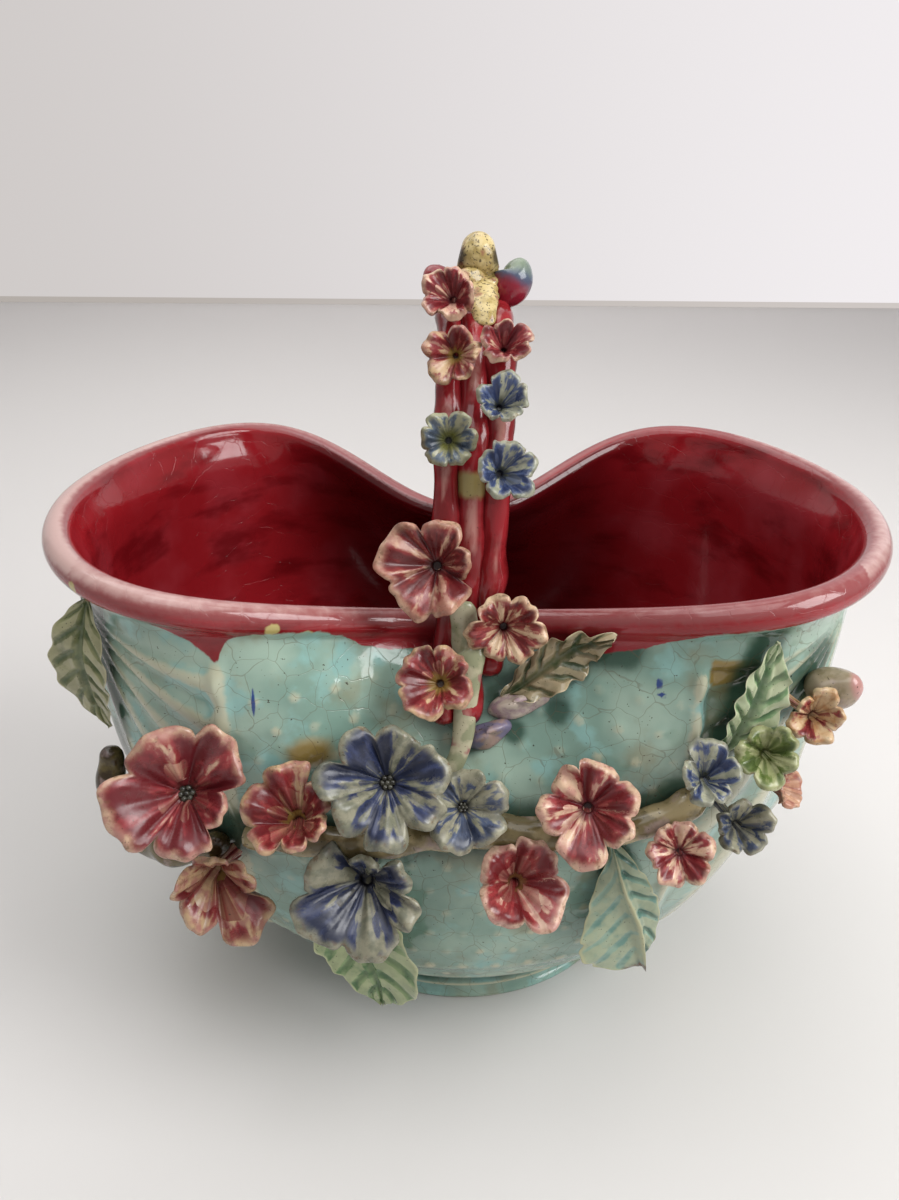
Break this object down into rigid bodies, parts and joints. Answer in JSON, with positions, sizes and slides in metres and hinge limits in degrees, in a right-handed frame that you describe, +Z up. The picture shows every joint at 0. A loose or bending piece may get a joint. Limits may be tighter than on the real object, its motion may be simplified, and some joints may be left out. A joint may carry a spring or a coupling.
{
  "type": "jardiniere",
  "caption": "Boat-shaped glazed earthenware jardiniere on a low foot, with a pinched rolled rim, a fixed overhead strand handle tied in a knot, and applied leaves and open flowers.",
  "frame": {"origin": "middle of the foot's underside, on the table", "axes": "+X to the right along the bowl's long way, seen from the front; +Y to the back, so the flowers face -Y; +Z up"},
  "size_m": [0.2391, 0.1659, 0.225],
  "materials": {
    "blue_glaze": "gloss",
    "cream_glaze": "gloss",
    "crimson_glaze": "gloss",
    "green_glaze": "gloss",
    "khaki_glaze": "gloss",
    "salmon_glaze": "gloss",
    "turquoise_glaze": "gloss",
    "yellow_glaze": "gloss"
  },
  "bodies": {
    "root": {"bowl": "turquoise_glaze", "branch_front": "khaki_glaze", "branch_left": "khaki_glaze", "branch_right_stub": "khaki_glaze", "bud_handle": "green_glaze", "bud_right": "green_glaze", "button_wall_01": "cream_glaze", "button_wall_04": "cream_glaze", "button_wall_05": "cream_glaze", "flower_handle_1": "crimson_glaze", "flower_handle_2": "crimson_glaze", "flower_handle_3": "crimson_glaze", "flower_handle_4": "blue_glaze", "flower_handle_5": "blue_glaze", "flower_handle_6": "blue_glaze", "flower_handle_7": "cream_glaze", "flower_handle_8": "cream_glaze", "flower_handle_9": "crimson_glaze", "flower_wall_01": "crimson_glaze", "flower_wall_02": "crimson_glaze", "flower_wall_03": "crimson_glaze", "flower_wall_04": "blue_glaze", "flower_wall_05": "blue_glaze", "flower_wall_06": "blue_glaze", "flower_wall_07": "crimson_glaze", "flower_wall_08": "crimson_glaze", "flower_wall_09": "crimson_glaze", "flower_wall_10": "blue_glaze", "flower_wall_11": "blue_glaze", "flower_wall_12": "green_glaze", "flower_wall_13": "crimson_glaze", "flower_wall_14": "salmon_glaze", "foot": "turquoise_glaze", "knot_core": "crimson_glaze", "knot_ear_left": "crimson_glaze", "knot_ear_right": "green_glaze", "knot_loop": "yellow_glaze", "knot_strap": "yellow_glaze", "leaf_handle": "green_glaze", "leaf_left": "green_glaze", "leaf_lower_left": "green_glaze", "leaf_lower_right": "green_glaze", "leaf_right": "green_glaze", "sheath_handle": "cream_glaze", "stem_front": "green_glaze", "strand_left": "crimson_glaze", "strand_middle": "crimson_glaze", "strand_right": "crimson_glaze"}
  },
  "joints": []
}
